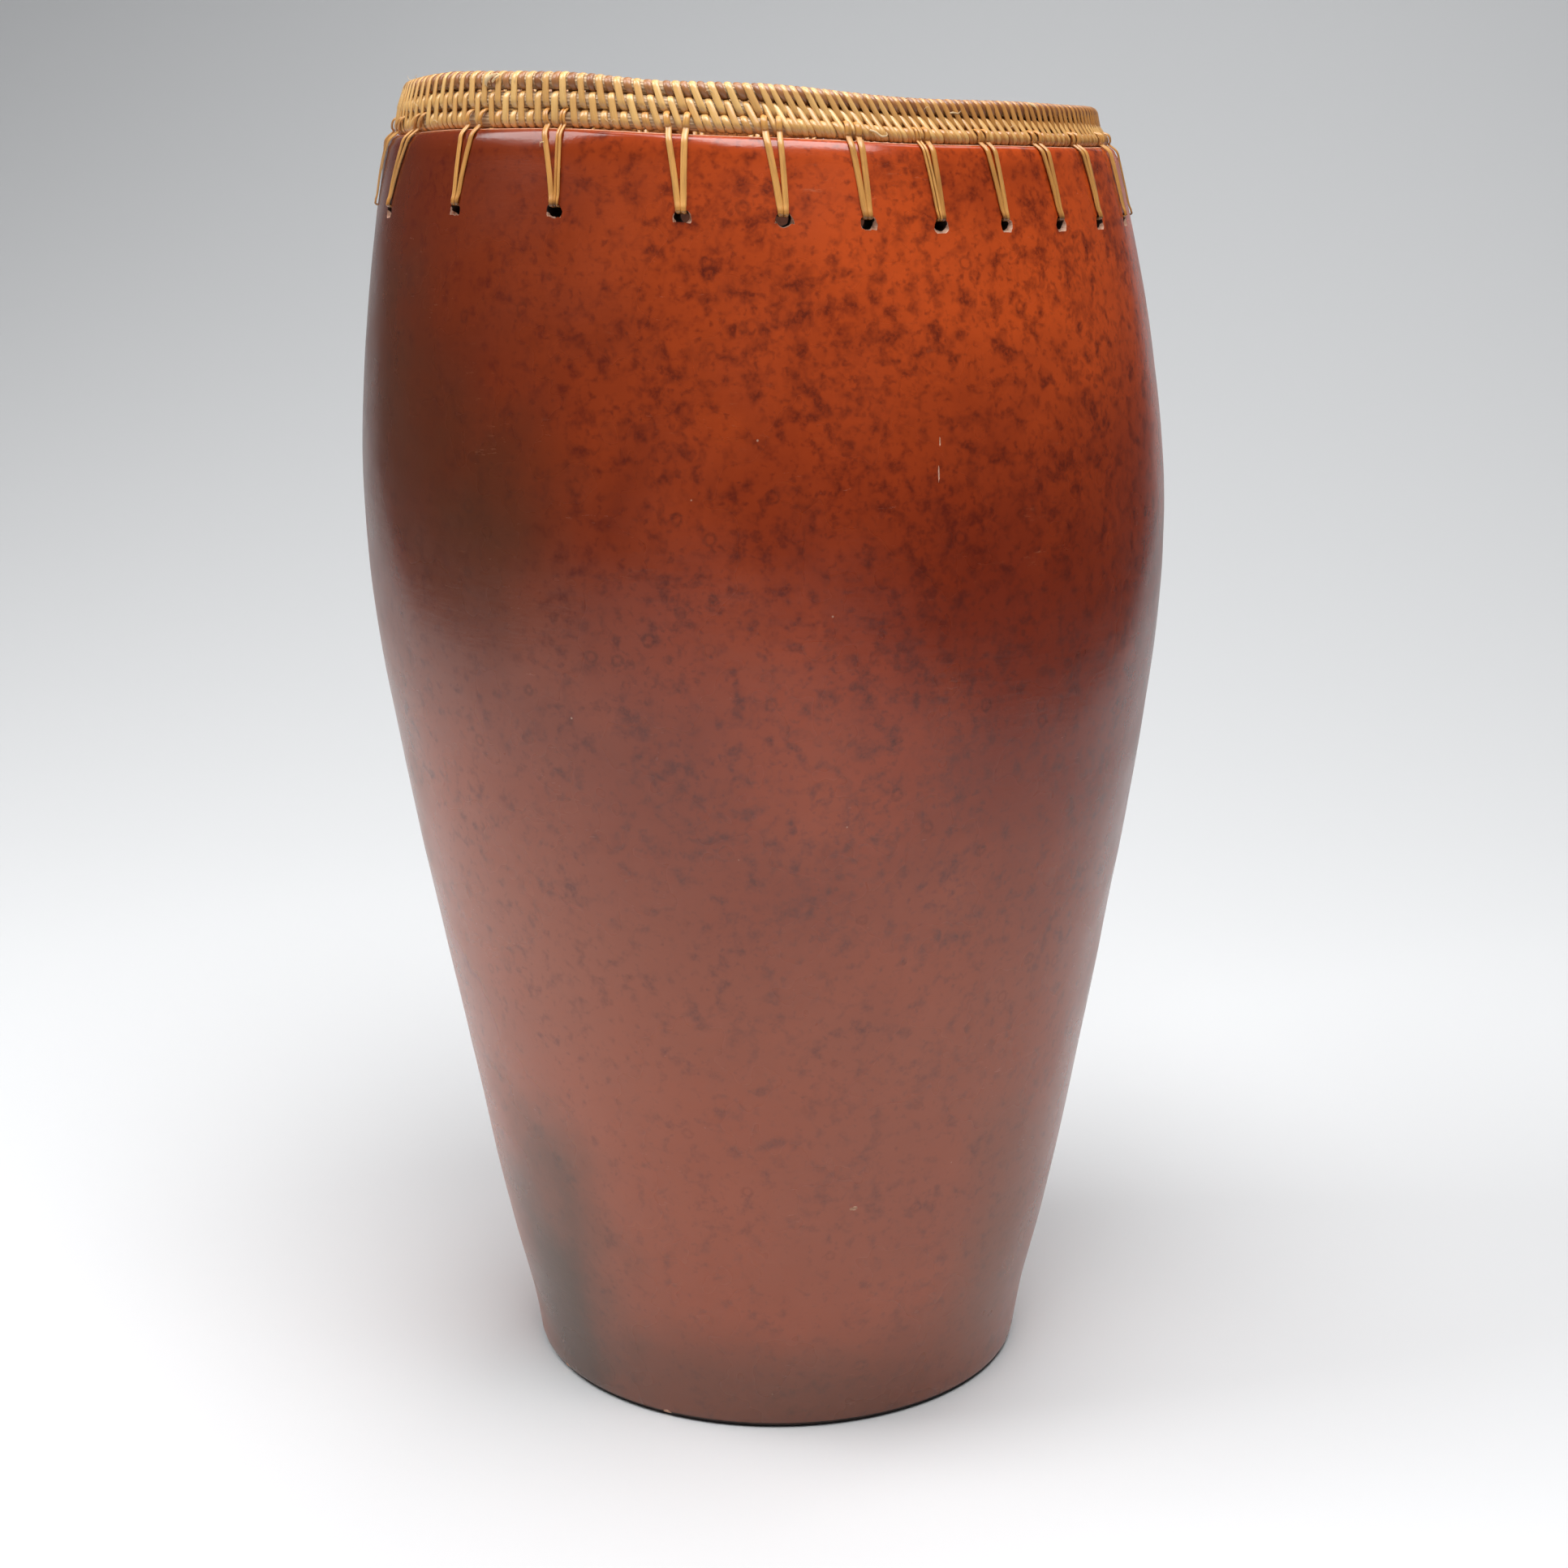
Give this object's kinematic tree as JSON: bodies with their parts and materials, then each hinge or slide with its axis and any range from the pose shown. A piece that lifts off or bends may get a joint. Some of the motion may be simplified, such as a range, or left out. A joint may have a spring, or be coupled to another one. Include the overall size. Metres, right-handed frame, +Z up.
{
  "type": "earthenware jar with rattan collar",
  "caption": "Hollow open-mouthed terracotta jar, wide at the shoulder, with a coiled and stitched rattan collar lashed onto its lip through drilled holes.",
  "frame": {"origin": "middle of the flat foot, on the surface the jar stands on", "axes": "+Z up along the jar, -Y towards the viewer, +X to the viewer's right"},
  "size_m": [0.2444, 0.244, 0.4003],
  "materials": {
    "terracotta": "satin burnish with smoke clouds",
    "rattan_core": "matt split rattan",
    "rattan_strip": "satin peeled rattan",
    "rattan_lashing": "satin peeled rattan"
  },
  "bodies": {
    "root": {"clay_body": "terracotta", "coil_core_lower": "rattan_core", "coil_core_middle": "rattan_core", "coil_core_upper": "rattan_core", "wraps_lower": "rattan_strip", "wraps_upper": "rattan_strip", "stitches_lower": "rattan_strip", "stitches_upper": "rattan_strip", "lashing_01": "rattan_lashing", "lashing_02": "rattan_lashing", "lashing_03": "rattan_lashing", "lashing_04": "rattan_lashing", "lashing_05": "rattan_lashing", "lashing_06": "rattan_lashing", "lashing_07": "rattan_lashing", "lashing_08": "rattan_lashing", "lashing_09": "rattan_lashing", "lashing_10": "rattan_lashing", "lashing_11": "rattan_lashing", "lashing_12": "rattan_lashing", "lashing_13": "rattan_lashing", "lashing_14": "rattan_lashing", "lashing_15": "rattan_lashing", "lashing_16": "rattan_lashing", "lashing_17": "rattan_lashing", "lashing_18": "rattan_lashing", "lashing_19": "rattan_lashing", "lashing_20": "rattan_lashing", "lashing_21": "rattan_lashing", "lashing_22": "rattan_lashing", "lashing_23": "rattan_lashing", "lashing_24": "rattan_lashing", "lashing_25": "rattan_lashing", "lashing_26": "rattan_lashing", "lashing_27": "rattan_lashing", "lashing_28": "rattan_lashing", "lashing_29": "rattan_lashing", "lashing_30": "rattan_lashing"}
  },
  "joints": []
}
